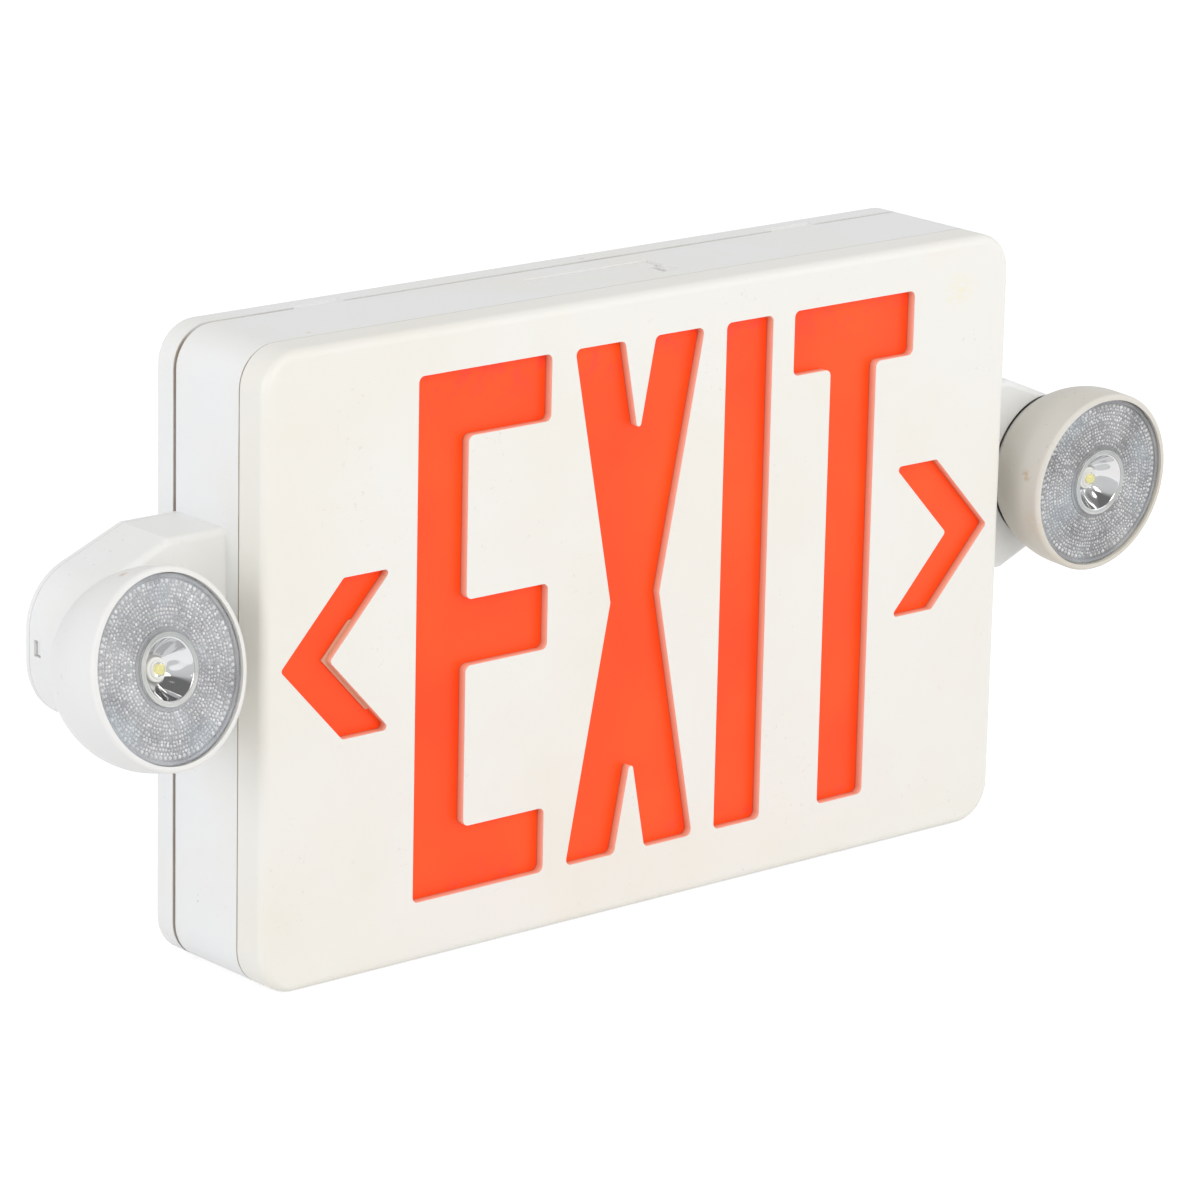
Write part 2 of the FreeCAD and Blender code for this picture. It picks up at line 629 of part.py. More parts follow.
def build_switch():
    """Tactile switch block above the button, hung from the frame's front rail side."""
    z0 = -HALF_H + BUTTON_SINK + BUTTON_LEN + BUTTON_TRAVEL + 0.3
    size = 6.0
    block = box(BUTTON_X - size, BUTTON_X + size, BUTTON_Y - size, BUTTON_Y + size, z0, z0 + 5)
    leg = 1.5
    legs = []
    for sx in (-1, 1):
        x0, x1 = sorted((BUTTON_X + sx * size, BUTTON_X + sx * (size + leg)))
        legs.append(box(x0, x1, BUTTON_Y - 4, BUTTON_Y + 4, -HALF_H + WALL, z0 + 5))
    return fuse([block] + legs)


def build_status():
    """Domed status light beside the button."""
    z0 = -HALF_H + BUTTON_SINK
    stem = cyl(STATUS_R, WALL + 2, (STATUS_X, BUTTON_Y, z0), (0, 0, 1))
    stem = stem.makeFillet(STATUS_R * 0.7, [e for e in stem.Edges if abs(e.BoundBox.ZMax - z0) < 1e-6])
    return fuse([stem, cyl(STATUS_R + 1, 1, (STATUS_X, BUTTON_Y, -HALF_H + WALL), (0, 0, 1))])


# ---------------------------------------------------------------- side arms, modelled at the right
def arm_points(inset=0.0, start=0.0):
    """XZ outline of an arm: level next to the housing, then tapered to an upright end."""
    t = math.tan(math.radians(ARM_TAPER))
    slant = inset / math.cos(math.radians(ARM_TAPER))
    half = ARM_HALF - inset
    end = ARM_REACH - inset
    flat = ARM_FLAT + (inset - slant) / t
    drop = half - (end - flat) * t
    pts = [(start, -half), (flat, -half), (end, -drop), (end, drop), (flat, half), (start, half)]
    return [(HALF_W + x, ARM_Z + z) for x, z in pts]


def arm_radii(inset=0.0):
    r = ARM_END_R - inset
    return [0, 2.0, r, r, 2.0, 0]


def build_arm():
    """Arm shell: open at the back, with the spherical cradle of the lamp head in its front."""
    back = ARM_BACK - ARM_COVER_T
    body = prism(arm_points(), arm_radii(), -ARM_FRONT, back)
    front = [e for e in body.Edges if abs(e.BoundBox.YMin + ARM_FRONT) < 1e-6
             and abs(e.BoundBox.YMax + ARM_FRONT) < 1e-6 and e.BoundBox.XMax > HALF_W + 0.01]
    body = body.makeFillet(ARM_EDGE_R, front)
    centre = V(BALL_X, BALL_Y, ARM_Z)
    shell = Part.makeSphere(CRADLE_R + WALL, centre)
    hollow = prism(arm_points(WALL, WALL), arm_radii(WALL), -ARM_FRONT + WALL, back + 1)
    boss = cyl(BOSS_R, CRADLE_R + WALL + BOSS_T, (BALL_X, BALL_Y, ARM_Z), (0, 1, 0))
    body = body.cut(hollow.cut([shell, boss]))
    spigot = cyl(ARM_PORT_R, ARM_SPIGOT + 0.5, (HALF_W + 0.5, (ARM_BACK - ARM_FRONT) / 2, ARM_Z), (-1, 0, 0))
    body = body.fuse(spigot)
    tools = [Part.makeSphere(CRADLE_R, centre),
             cyl(STUD_R + STUD_FIT, CRADLE_R + WALL + BOSS_T + 2, (BALL_X, BALL_Y, ARM_Z), (0, 1, 0)),
             cyl(ARM_PORT_R - 1.6, ARM_SPIGOT + WALL + 2, (HALF_W - ARM_SPIGOT - 1, (ARM_BACK - ARM_FRONT) / 2, ARM_Z),
                 (1, 0, 0)),
             box(HALF_W + ARM_REACH - WALL - 1, HALF_W + ARM_REACH + 1, ARM_BACK - SNAP_FROM_BACK,
                 ARM_BACK - SNAP_FROM_BACK + SNAP_W, ARM_Z - SNAP_H / 2, ARM_Z + SNAP_H / 2)]
    return body.cut(tools).removeSplitter()


def build_arm_cover():
    """Flat back cover of an arm with a locating rim and the snap tooth."""
    back = ARM_BACK
    plate = prism(arm_points(), arm_radii(), back - ARM_COVER_T + FIT, back)
    rim = prism(arm_points(WALL + FIT, WALL + FIT), arm_radii(WALL + FIT), back - ARM_COVER_T - 2.2, back - ARM_COVER_T + FIT)
    hole = prism(arm_points(2 * WALL, 2 * WALL), arm_radii(2 * WALL), back - ARM_COVER_T - 3, back - ARM_COVER_T + FIT)
    rim = rim.cut(hole)
    x1 = HALF_W + ARM_REACH - WALL - FIT
    tongue = box(x1 - 1.6, x1, back - SNAP_FROM_BACK - 0.6, back - ARM_COVER_T, ARM_Z - SNAP_H / 2 + 0.3, ARM_Z + SNAP_H / 2 - 0.3)
    tooth = box(x1 - 0.2, x1 + WALL * 0.6, back - SNAP_FROM_BACK + 0.3, back - SNAP_FROM_BACK + SNAP_W - 0.3,
                ARM_Z - SNAP_H / 2 + 0.3, ARM_Z + SNAP_H / 2 - 0.3)
    return fuse([plate, rim, tongue, tooth])


# ---------------------------------------------------------------- lamp head, about its ball centre
def build_cup():
    """Eyeball cup: a ball that runs out into a short barrel, hollow, slotted at the back."""
    y_front = -HEAD_FRONT
    c = math.cos(math.radians(45))
    e = HEAD_EDGE_R
    outer = revolve_y([(0, BALL_R), (BALL_R * c, BALL_R * c, 1), (BALL_R, 0), (BALL_R, y_front + e),
                       (BALL_R - e * (1 - c), y_front + e * (1 - c), 1), (BALL_R - e, y_front), (0, y_front)])
    inner_r = BALL_IN
    y_ledge = y_front + LAMP_RECESS + LAMP_T
    y_in = y_ledge + LEDGE_T
    seat_r = LAMP_R + FIT
    ledge_r = seat_r - LEDGE_W
    a = (math.pi / 2 + math.asin(y_in / inner_r)) / 2
    inner = revolve_y([(0, inner_r), (inner_r * math.cos(a), inner_r * math.sin(a), 1),
                       (math.sqrt(inner_r ** 2 - y_in ** 2), y_in), (ledge_r, y_in),
                       (ledge_r, y_ledge), (seat_r, y_ledge), (seat_r, y_front - 1), (0, y_front - 1)])
    cup = outer.cut(inner)
    # three posts that carry the lamp board
    posts = []
    for k in range(3):
        t = math.radians(90 + 120 * k)
        r = LED_BOARD_R - 4.5
        y1 = math.sqrt(inner_r ** 2 - (r + 2.2) ** 2) + 0.8
        posts.append(cyl(2.0, y1 - LED_BOARD_Y - LED_BOARD_T, (r * math.cos(t), LED_BOARD_Y + LED_BOARD_T, r * math.sin(t)),
                         (0, 1, 0)))
    cup = fuse([cup] + posts)
    # slot that lets the cup tilt on its stud
    w = STUD_R + SLOT_FIT
    wedge = []
    swing = TILT_MAX + 1.0
    for k in range(-1, 2):
        pin = cyl(w, BALL_R + 2, (0, 0, 0), (0, 1, 0))
        pin.rotate(V(0, 0, 0), V(1, 0, 0), k * swing)
        wedge.append(pin)
    r = BALL_R + 2
    s, c2 = math.sin(math.radians(swing)), math.cos(math.radians(swing))
    tri = Part.Face(Part.makePolygon([V(-w, 0, 0), V(-w, r * c2, r * s), V(-w, r * c2 + 6, 0), V(-w, r * c2, -r * s), V(-w, 0, 0)]))
    wedge.append(tri.extrude(V(2 * w, 0, 0)))
    keep = cyl(BALL_R, BALL_R + 4, (0, BALL_IN * 0.6, 0), (0, 1, 0))
    cup = cup.cut([p.common(keep) for p in wedge])
    # pockets for the bayonet lugs of the lens
    pockets = []
    for k in range(LUG_COUNT):
        pockets.append(lug(k, LAMP_R - 0.5, BALL_R - 0.9, y_front + LAMP_RECESS + 0.5, y_ledge, LUG_SPAN + 2))
    return cup.cut(pockets).removeSplitter()


def lug(k, r0, r1, y0, y1, span):
    """Ring segment between two radii and two depths, at the k-th of the equal divisions."""
    a0 = 360.0 / LUG_COUNT * k + 45 - span / 2
    ringed = Part.makeCylinder(r1, y1 - y0, V(0, y0, 0), V(0, 1, 0), span)
    ringed = ringed.cut(Part.makeCylinder(r0, y1 - y0, V(0, y0, 0), V(0, 1, 0), 360))
    ringed.rotate(V(0, 0, 0), V(0, 1, 0), a0)
    return ringed


def build_lamp_lens():
    """Clear front lens with a bore for the optic and four bayonet lugs."""
    y0 = -HEAD_FRONT + LAMP_RECESS
    disc = revolve_y([(OPTIC_R + FIT, y0), (LAMP_R - 0.4, y0), (LAMP_R, y0 + 0.4), (LAMP_R, y0 + LAMP_T),
                      (OPTIC_R + FIT, y0 + LAMP_T)])
    lugs = [lug(k, LAMP_R - 0.5, BALL_R - 1.1, y0 + 0.7, y0 + LAMP_T, LUG_SPAN) for k in range(LUG_COUNT)]
    return fuse([disc] + lugs)


def build_optic():
    """Chromed reflector: a flared bowl with a flat bezel flush with the lens."""
    y0 = -HEAD_FRONT + LAMP_RECESS
    y1 = LED_BOARD_Y
    mid_r = (OPTIC_BORE_R + OPTIC_BASE_R) / 2 + 1.0
    mid_y = (y0 + y1) / 2
    t = 0.9
    return revolve_y([(OPTIC_BORE_R, y0), (OPTIC_R, y0), (OPTIC_R, y0 + LAMP_T), (OPTIC_BORE_R + t, y0 + LAMP_T),
                      (mid_r + t + 0.3, mid_y + 0.5, 1), (OPTIC_BASE_R + t, y1), (OPTIC_BASE_R, y1),
                      (mid_r, mid_y, 1)])


def build_led_board():
    y = LED_BOARD_Y
    disc = Part.makeCylinder(LED_BOARD_R, LED_BOARD_T, V(0, y, 0), V(0, 1, 0))
    return disc


def build_led():
    """Square lamp package with its domed phosphor."""
    y = LED_BOARD_Y
    h = LED_SIZE / 2
    body = box(-h, h, y - LED_T, y, -h, h)
    dome = Part.makeSphere(LED_DOME_R, V(0, y - LED_T + 0.4, 0))
    dome = dome.common(box(-h, h, y - LED_T - LED_DOME_R, y - LED_T + 0.1, -h, h))
    return fuse([body, dome])


def build_stud():
    """Swivel stud: a spherical washer inside the ball on a shank through slot and arm."""
    r_out = BALL_IN - SLIDE_FIT
    cap = Part.makeSphere(r_out).cut(Part.makeSphere(r_out - CAP_T))
    cone = Part.makeCone(0, r_out * math.tan(math.radians(CAP_ANGLE)) * 1.2, r_out * 1.2, V(0, 0, 0), V(0, 1, 0))
    cap = cap.common(cone)
    end = CRADLE_R + WALL + BOSS_T + SPRING_T + NUT_T + 1.0
    shank = cyl(STUD_R, end - (r_out - CAP_T * 0.6), (0, r_out - CAP_T * 0.6, 0), (0, 1, 0))
    shank = shank.makeChamfer(0.5, [e for e in shank.Edges if abs(e.BoundBox.YMin - end) < 1e-6])
    return fuse([cap, shank])


def build_nut():
    """Hexagon nut seated on its spring washer behind the cradle boss."""
    y = CRADLE_R + WALL + BOSS_T + SEAT
    r = NUT_FLATS / 2 / math.cos(math.radians(30))
    pts = [(r * math.cos(math.radians(60 * k)), r * math.sin(math.radians(60 * k))) for k in range(6)]
    nut = prism(pts, 0.3, y + SPRING_T, y + SPRING_T + NUT_T)
    washer = cyl(SPRING_R, SPRING_T, (0, y, 0), (0, 1, 0))
    return fuse([nut, washer]).cut(cyl(STUD_R + 0.02, NUT_T + SPRING_T + 2, (0, y - 1, 0), (0, 1, 0)))


def place(shape, side, tilt, turn):
    """Put a head piece at its arm: tilt up about X, then turn about the swivel axis."""
    out = shape.copy()
    if tilt:
        out.rotate(V(0, 0, 0), V(1, 0, 0), -tilt)
    if turn:
        out.rotate(V(0, 0, 0), V(0, 1, 0), -turn)
    out.translate(V(side * BALL_X, BALL_Y, ARM_Z))
    return out


# ---------------------------------------------------------------- write every piece
def main():
    pieces = {
        "faceplate": build_faceplate(),
        "red_panel": build_lens(),
        "frame": build_frame(),
        "back_cover": build_back(),
        "canopy_plug": build_canopy_plug(),
        "charger_board": build_board(),
        "transformer": build_trafo(),
        "capacitor": build_capacitor(),
        "relay": build_relay(),
        "supply_terminal": build_terminal(),
        "battery_pack": build_battery(),
        "battery_pad": build_pad(),
        "battery_strap": build_strap(),
        "light_strip_top": build_strip(1),
        "light_strip_bottom": build_strip(-1),
        "test_button": build_button(),
        "test_switch": build_switch(),
        "status_light": build_status(),
    }
    for k, (x, z) in enumerate(board_corners()):
        pieces["board_screw_%d" % (k + 1)] = build_screw(x, BOARD_Y - BOARD_T, z, BOARD_T)
    for k, (x, z) in enumerate(strap_feet()):
        pieces["strap_screw_%d" % (k + 1)] = build_screw(x, -(WALL + STRAP_POST + STRAP_T), z, STRAP_T)
    arm, arm_cover = build_arm(), build_arm_cover()
    head = {"head_cup": build_cup(), "lamp_lens": build_lamp_lens(), "lamp_optic": build_optic(),
            "lamp_board": build_led_board(), "lamp_led": build_led()}
    swivel = {"swivel_stud": build_stud(), "swivel_nut": build_nut()}
    for name, side, tilt, turn in (("left", -1, LEFT_TILT, LEFT_TURN), ("right", 1, RIGHT_TILT, RIGHT_TURN)):
        pieces[name + "_arm"] = arm if side > 0 else mirrored(arm)
        pieces[name + "_arm_cover"] = arm_cover if side > 0 else mirrored(arm_cover)
        for key, shape in head.items():
            pieces[name + "_" + key] = place(shape, side, tilt, turn)
        for key, shape in swivel.items():
            pieces[name + "_" + key] = place(shape, side, 0, turn)
    os.makedirs("parts", exist_ok=True)
    for name, shape in pieces.items():
        if shape.ShapeType == "Compound" and len(shape.Solids) == 1:
            shape = shape.Solids[0]
        shape.exportStep("parts/%s.step" % name)
        print("%-20s solids %d volume %.1f valid %s" % (name, len(shape.Solids), shape.Volume, shape.isValid()))


main()
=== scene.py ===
"""Emergency exit light: finishes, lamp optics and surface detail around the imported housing.

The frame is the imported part's: X right as the legend is read, +Y into the wall, +Z up, the wall at
y = 0.  Blender's lengths are metres.  Sizes and places written here are in mm, and MM turns them.
"""
import json
import math

import bmesh
import bpy
import numpy as np
from mathutils import Matrix, Vector


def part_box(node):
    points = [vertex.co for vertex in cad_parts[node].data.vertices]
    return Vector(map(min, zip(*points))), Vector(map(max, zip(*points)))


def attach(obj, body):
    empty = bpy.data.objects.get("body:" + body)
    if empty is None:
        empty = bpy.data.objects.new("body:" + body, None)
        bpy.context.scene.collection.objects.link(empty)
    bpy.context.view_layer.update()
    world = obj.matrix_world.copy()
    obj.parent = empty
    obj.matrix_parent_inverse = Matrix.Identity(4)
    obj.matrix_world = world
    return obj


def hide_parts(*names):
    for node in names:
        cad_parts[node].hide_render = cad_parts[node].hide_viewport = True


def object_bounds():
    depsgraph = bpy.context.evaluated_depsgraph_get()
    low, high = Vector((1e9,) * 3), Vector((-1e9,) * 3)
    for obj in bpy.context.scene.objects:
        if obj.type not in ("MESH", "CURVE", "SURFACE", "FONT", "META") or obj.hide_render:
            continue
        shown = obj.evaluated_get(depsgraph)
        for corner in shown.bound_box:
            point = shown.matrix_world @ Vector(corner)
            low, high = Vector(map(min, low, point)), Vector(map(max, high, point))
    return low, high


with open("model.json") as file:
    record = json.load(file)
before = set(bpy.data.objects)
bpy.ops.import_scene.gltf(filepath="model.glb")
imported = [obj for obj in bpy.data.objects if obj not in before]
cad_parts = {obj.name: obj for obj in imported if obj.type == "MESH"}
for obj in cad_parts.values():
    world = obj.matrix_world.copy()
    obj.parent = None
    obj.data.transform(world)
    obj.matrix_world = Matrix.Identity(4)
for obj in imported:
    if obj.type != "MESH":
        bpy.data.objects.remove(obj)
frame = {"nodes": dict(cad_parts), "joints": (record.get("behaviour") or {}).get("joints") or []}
cad_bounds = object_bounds()
NODES = frame["nodes"]
JOINTS = {joint["name"]: joint for joint in frame["joints"]}
SIDES = ("left", "right")
MM = 0.001
BALL = {side: np.array(JOINTS[side + "_tilt"]["pos_m"]) / MM for side in SIDES}   # ball centres


# ---------------------------------------------------------------- colour and nodes
RGBA = {"data_type": "RGBA", "out": 2}      # a Mix node of colours: share 0, under 6, over 7


def linear(hexcode):
    """sRGB hex such as 'F2F0E9' as linear RGBA."""
    rgb = np.array([int(hexcode[k:k + 2], 16) for k in (0, 2, 4)]) / 255.0
    rgb = np.where(rgb <= 0.04045, rgb / 12.92, ((rgb + 0.055) / 1.055) ** 2.4)
    return (*rgb.tolist(), 1.0)


def fill(tree, node, sockets):
    """Fills or links a node's input sockets, given by name or number.  A hex code is a colour."""
    for key, value in sockets.items():
        if isinstance(value, bpy.types.NodeSocket):
            tree.links.new(value, node.inputs[key])
        else:
            node.inputs[key].default_value = linear(value) if isinstance(value, str) else value


def add(tree, kind, sockets=None, out=0, stops=(), **settings):
    """Adds a node, sets its properties and a ramp's (place, hex) stops, and fills or links its
    sockets.  Gives one output, by name or number, or with out=None the whole node."""
    node = tree.nodes.new("ShaderNode" + kind)
    for key, value in settings.items():
        setattr(node, key, value)
    if stops:
        elements = node.color_ramp.elements
        for element, (place, code) in zip(elements, (stops[0], stops[-1])):
            element.position, element.color = place, linear(code)
        for place, code in stops[1:-1]:
            elements.new(place).color = linear(code)
    fill(tree, node, sockets or {})
    return node if out is None else node.outputs[out]


def new_material(name):
    """Material with one Principled shader: gives it, its tree, the shader and the output node."""
    mat = bpy.data.materials.new(name)
    mat.use_nodes = True
    tree = mat.node_tree
    tree.nodes.clear()
    shader = add(tree, "BsdfPrincipled", out=None)
    surface = add(tree, "OutputMaterial", {"Surface": shader.outputs[0]}, out=None)
    return mat, tree, shader, surface


# ---------------------------------------------------------------- finishes
FACE_FRONT, PANEL_FRONT = -52.0, -48.8      # depths of the stencil's front and of the red sheet
FACE_SKIN = 0.1                             # thickness that still counts as the stencil's front
STENCIL_REACH = {"X": 143.5, "Z": 90.0}     # the cut-outs lie within this of the housing's middle
TOP_FADE = (92.0, 95.5)                     # heights where the sides pass into the top
CRADLE_SHADE_R = 30.25                            # radius from the ball centre within which an arm's cradle is painted near black, as painted shade in the gap round the ball
# joints round the housing: depth, half width, colour and strength of their grime
SHADOW_JOINT = (-8.8, 0.75, "A89684", 0.95)
FACE_JOINT = (-39.9, 0.3, "A08D70", 0.8)


def blot(tree, place, centre, radii, edge):
    """Share of a stain: 1 inside an ellipsoid round the centre, falling to 0 over its edge share."""
    off = add(tree, "VectorMath", {0: place, 1: [v * MM for v in centre]}, operation="SUBTRACT")
    off = add(tree, "VectorMath", {0: off, 1: [1 / (v * MM) for v in radii]}, operation="MULTIPLY")
    reach = add(tree, "VectorMath", {0: off}, out="Value", operation="LENGTH")
    return add(tree, "MapRange", {"Value": reach, "From Min": 1 - edge, "To Min": 1.0, "To Max": 0.0})


def painted_wall_bounce(tree, axes, colour):
    """The walls of the cut-outs: painted red bounce light from the red sheet behind them, pale at the front
    edge and turning to darker red painted shade at their foot.
    """
    inside = add(tree, "Math", {0: axes["Y"], 1: (FACE_FRONT + FACE_SKIN) * MM}, operation="GREATER_THAN")
    for axis, limit in STENCIL_REACH.items():
        off = add(tree, "Math", {0: axes[axis]}, operation="ABSOLUTE")
        near = add(tree, "Math", {0: off, 1: limit * MM}, operation="LESS_THAN")
        inside = add(tree, "Math", {0: inside, 1: near}, operation="MULTIPLY")
    depth = add(tree, "MapRange", {"Value": axes["Y"], "From Min": FACE_FRONT * MM,
                                   "From Max": PANEL_FRONT * MM})
    # painted bounce light and painted shade, by depth in the cut-out
    painted_bounce = add(tree, "ValToRGB", {"Fac": depth},
               stops=[(0.0, "F8E2D4"), (0.35, "F0C8B0"), (0.8, "E0A488"), (1.0, "B8523C")])
    return add(tree, "Mix", {0: inside, 6: colour, 7: painted_bounce}, **RGBA)


def moulded_abs(name, base, aged, grime, aged_share=0.5, grime_share=0.25, seed=0.0, joints=(),
                stains=(), hollow=None, stencil=False):
    """Injection-moulded ABS: satin, with faint flow clouding, yellowed patches, handling grime in
    small specks and along its joints, and the fine spark-eroded grain that moulds leave.  Where asked,
    it also carries painted red bounce light and painted shade on the stencil's walls, and near-black
    painted shade in an arm's cradle round the ball."""
    mat, tree, shader, _ = new_material(name)
    place = add(tree, "TexCoord", out="Object")
    axes = add(tree, "SeparateXYZ", {0: place}, out=None).outputs
    shifted = add(tree, "Mapping", {"Vector": place, "Location": (seed, seed * 0.7, -seed)})
    # clouds about 60 mm across, yellowed where they are dense
    cloud = add(tree, "TexNoise", {"Vector": shifted, "Scale": 1 / (60 * MM), "Detail": 3.0,
                                   "Roughness": 0.55})
    patch = add(tree, "MapRange", {"Value": cloud, "From Min": 0.45, "From Max": 0.75, "To Max": aged_share})
    colour = add(tree, "Mix", {0: patch, 6: base, 7: aged}, **RGBA)
    # specks of grime about 1.5 mm across that gather in 25 mm patches
    speck = add(tree, "TexNoise", {"Vector": shifted, "Scale": 1 / (1.5 * MM), "Detail": 2.0})
    speck = add(tree, "MapRange", {"Value": speck, "From Min": 0.66, "From Max": 0.78})
    where = add(tree, "TexNoise", {"Vector": shifted, "Scale": 1 / (25 * MM), "Detail": 2.0})
    where = add(tree, "MapRange", {"Value": where, "From Min": 0.52, "From Max": 0.68,
                                   "To Max": grime_share})
    dirt = add(tree, "Math", {0: speck, 1: where}, operation="MULTIPLY")
    colour = add(tree, "Mix", {0: dirt, 6: colour, 7: grime}, **RGBA)
    # painted red bounce light and painted shade on the walls of the stencil's cut-outs
    if stencil:
        colour = painted_wall_bounce(tree, axes, colour)
    # grime packed into the joints, uneven over 25 mm, and paler where the sides pass into the top
    uneven = add(tree, "MapRange", {"Value": where, "From Max": grime_share, "To Min": 0.55})
    low, high = TOP_FADE
    on_top = add(tree, "MapRange", {"Value": axes["Z"], "From Min": low * MM, "From Max": high * MM})
    for depth, half, code, strength in joints:
        off = add(tree, "Math", {0: axes["Y"], 1: -depth * MM}, operation="ADD")
        off = add(tree, "Math", {0: off}, operation="ABSOLUTE")
        share = add(tree, "MapRange", {"Value": off, "From Min": half * MM, "From Max": half * 1.25 * MM,
                                       "To Min": strength, "To Max": 0.0})
        share = add(tree, "Math", {0: share, 1: uneven}, operation="MULTIPLY")
        packed = add(tree, "Mix", {0: on_top, 6: code, 7: "D9D8D4"}, **RGBA)
        colour = add(tree, "Mix", {0: share, 6: colour, 7: packed}, **RGBA)
    # stains with ragged edges about 1.5 mm fine
    ragged = add(tree, "TexNoise", {"Vector": shifted, "Scale": 1 / (1.5 * MM), "Detail": 3.0})
    ragged = add(tree, "MapRange", {"Value": ragged, "From Min": 0.38, "From Max": 0.62})
    for centre, radii, code, strength in stains:
        share = blot(tree, place, centre, radii, 0.8)
        for factor in (ragged, strength):
            share = add(tree, "Math", {0: share, 1: factor}, operation="MULTIPLY")
        colour = add(tree, "Mix", {0: share, 6: colour, 7: code}, **RGBA)
    # painted shade: near black within a radius of the ball centre, for the gap round the ball
    if hollow:
        centre, radius, code = hollow
        share = blot(tree, place, centre, (radius,) * 3, 0.01)
        colour = add(tree, "Mix", {0: share, 6: colour, 7: code}, **RGBA)
    rough = add(tree, "MapRange", {"Value": cloud, "To Min": 0.38, "To Max": 0.49})
    # grain of 0.6 mm, coarser than a real mould's so that it shows
    grain = add(tree, "TexNoise", {"Vector": shifted, "Scale": 1 / (0.6 * MM), "Detail": 2.0})
    bump = add(tree, "Bump", {"Height": grain, "Strength": 0.25, "Distance": 0.03 * MM})
    fill(tree, shader, {"Base Color": colour, "Roughness": rough, "IOR": 1.53, "Normal": bump})
    return mat


def plain(name, base, rough=0.5, metal=False, mottle=0.12, across=4.0, dents=0.0):
    """A finish with a slight mottle of its own colour, so many mm across, and dents so many mm deep
    where it is soft."""
    mat, tree, shader, _ = new_material(name)
    place = add(tree, "TexCoord", out="Object")
    grain = add(tree, "TexNoise", {"Vector": place, "Scale": 1 / (across * MM), "Detail": 3.0})
    rgb = linear(base)[:3]
    dark, light = ((*(min(1.0, v * share) for v in rgb), 1.0) for share in (1 - mottle, 1 + mottle))
    colour = add(tree, "Mix", {0: grain, 6: dark, 7: light}, **RGBA)
    fill(tree, shader, {"Base Color": colour, "Roughness": rough})
    fill(tree, shader, {"Metallic": 1.0} if metal else {"IOR": 1.5})
    if dents:
        bump = add(tree, "Bump", {"Height": grain, "Strength": 0.5, "Distance": dents * MM})
        fill(tree, shader, {"Normal": bump})
    return mat


def red_acrylic():
    """Translucent red acrylic sheet: satin, even, with a painted glow, a faint emission of its own colour
    that stands in for light through it from the housing's white inside, and rubbed pinker near the ends of
    the strokes."""
    mat, tree, shader, _ = new_material("red_translucent_acrylic")
    place = add(tree, "TexCoord", out="Object")
    cloud = add(tree, "TexNoise", {"Vector": place, "Scale": 1 / (45 * MM), "Detail": 2.0})
    colour = add(tree, "ValToRGB", {"Fac": cloud}, stops=[(0.3, "FF4613"), (0.7, "FF5215")])
    # smears about 6 mm across, which come in from 68 to 80 mm above and below the middle
    height = add(tree, "SeparateXYZ", {0: place}, out="Z")
    height = add(tree, "Math", {0: height}, operation="ABSOLUTE")
    ends = add(tree, "MapRange", {"Value": height, "From Min": 68 * MM, "From Max": 80 * MM})
    smear = add(tree, "TexNoise", {"Vector": place, "Scale": 1 / (6 * MM), "Detail": 4.0, "Roughness": 0.7})
    smear = add(tree, "MapRange", {"Value": smear, "From Min": 0.5, "From Max": 0.62, "To Max": 0.5})
    smear = add(tree, "Math", {0: smear, 1: ends}, operation="MULTIPLY")
    colour = add(tree, "Mix", {0: smear, 6: colour, 7: "F23A34"}, **RGBA)
    # painted glow: the sheet emits a little of its own colour
    fill(tree, shader, {"Base Color": colour, "Emission Color": colour, "Emission Strength": 0.16,
                        "Roughness": 0.38, "Specular IOR Level": 0.35, "IOR": 1.49})
    return mat


def clear_polycarbonate():
    """Clear polycarbonate, polished in its mould: it shows as gloss and a faint cool edge."""
    mat, tree, shader, _ = new_material("clear_polycarbonate")
    place = add(tree, "TexCoord", out="Object")
    wave = add(tree, "TexNoise", {"Vector": place, "Scale": 1 / (9 * MM), "Detail": 1.0})
    rough = add(tree, "MapRange", {"Value": wave, "To Min": 0.01, "To Max": 0.06})
    fill(tree, shader, {"Base Color": "FBFCFD", "Transmission Weight": 1.0, "IOR": 1.45, "Roughness": rough})
    return mat


def prism_painted_shade(name, dark, light, rough, by_dot=False):
    """Clear polycarbonate prisms drawn as opaque grey: painted shade of the shadowed cup seen through them,
    and painted highlights that set each dot a little apart, with cooler patches about 22 mm across."""
    mat, tree, shader, _ = new_material(name)
    place = add(tree, "TexCoord", out="Object")
    shade = add(tree, "TexNoise", {"Vector": place, "Scale": 1 / (14 * MM), "Detail": 3.0})
    shade = add(tree, "MapRange", {"Value": shade, "From Min": 0.35, "From Max": 0.65})
    if by_dot:
        own = add(tree, "Attribute", out="Fac", attribute_name="shade")
        shade = add(tree, "Mix", {0: 0.7, 2: shade, 3: own}, data_type="FLOAT")
    colour = add(tree, "ValToRGB", {"Fac": shade}, stops=[(0.0, dark), (1.0, light)])
    cool = add(tree, "TexNoise", {"Vector": place, "Scale": 1 / (22 * MM), "Detail": 1.0})
    cool = add(tree, "MapRange", {"Value": cool, "From Min": 0.52, "From Max": 0.66, "To Max": 0.35})
    colour = add(tree, "Mix", {0: cool, 6: colour, 7: "9FACB8"}, **RGBA)
    fill(tree, shader, {"Base Color": colour, "Roughness": rough, "IOR": 1.586})
    return mat


def by_ball(side, *stains):
    """Stains given from a ball centre, as stains in the part's frame."""
    return [((BALL[side] + at).tolist(), radii, code, strength) for at, radii, code, strength in stains]


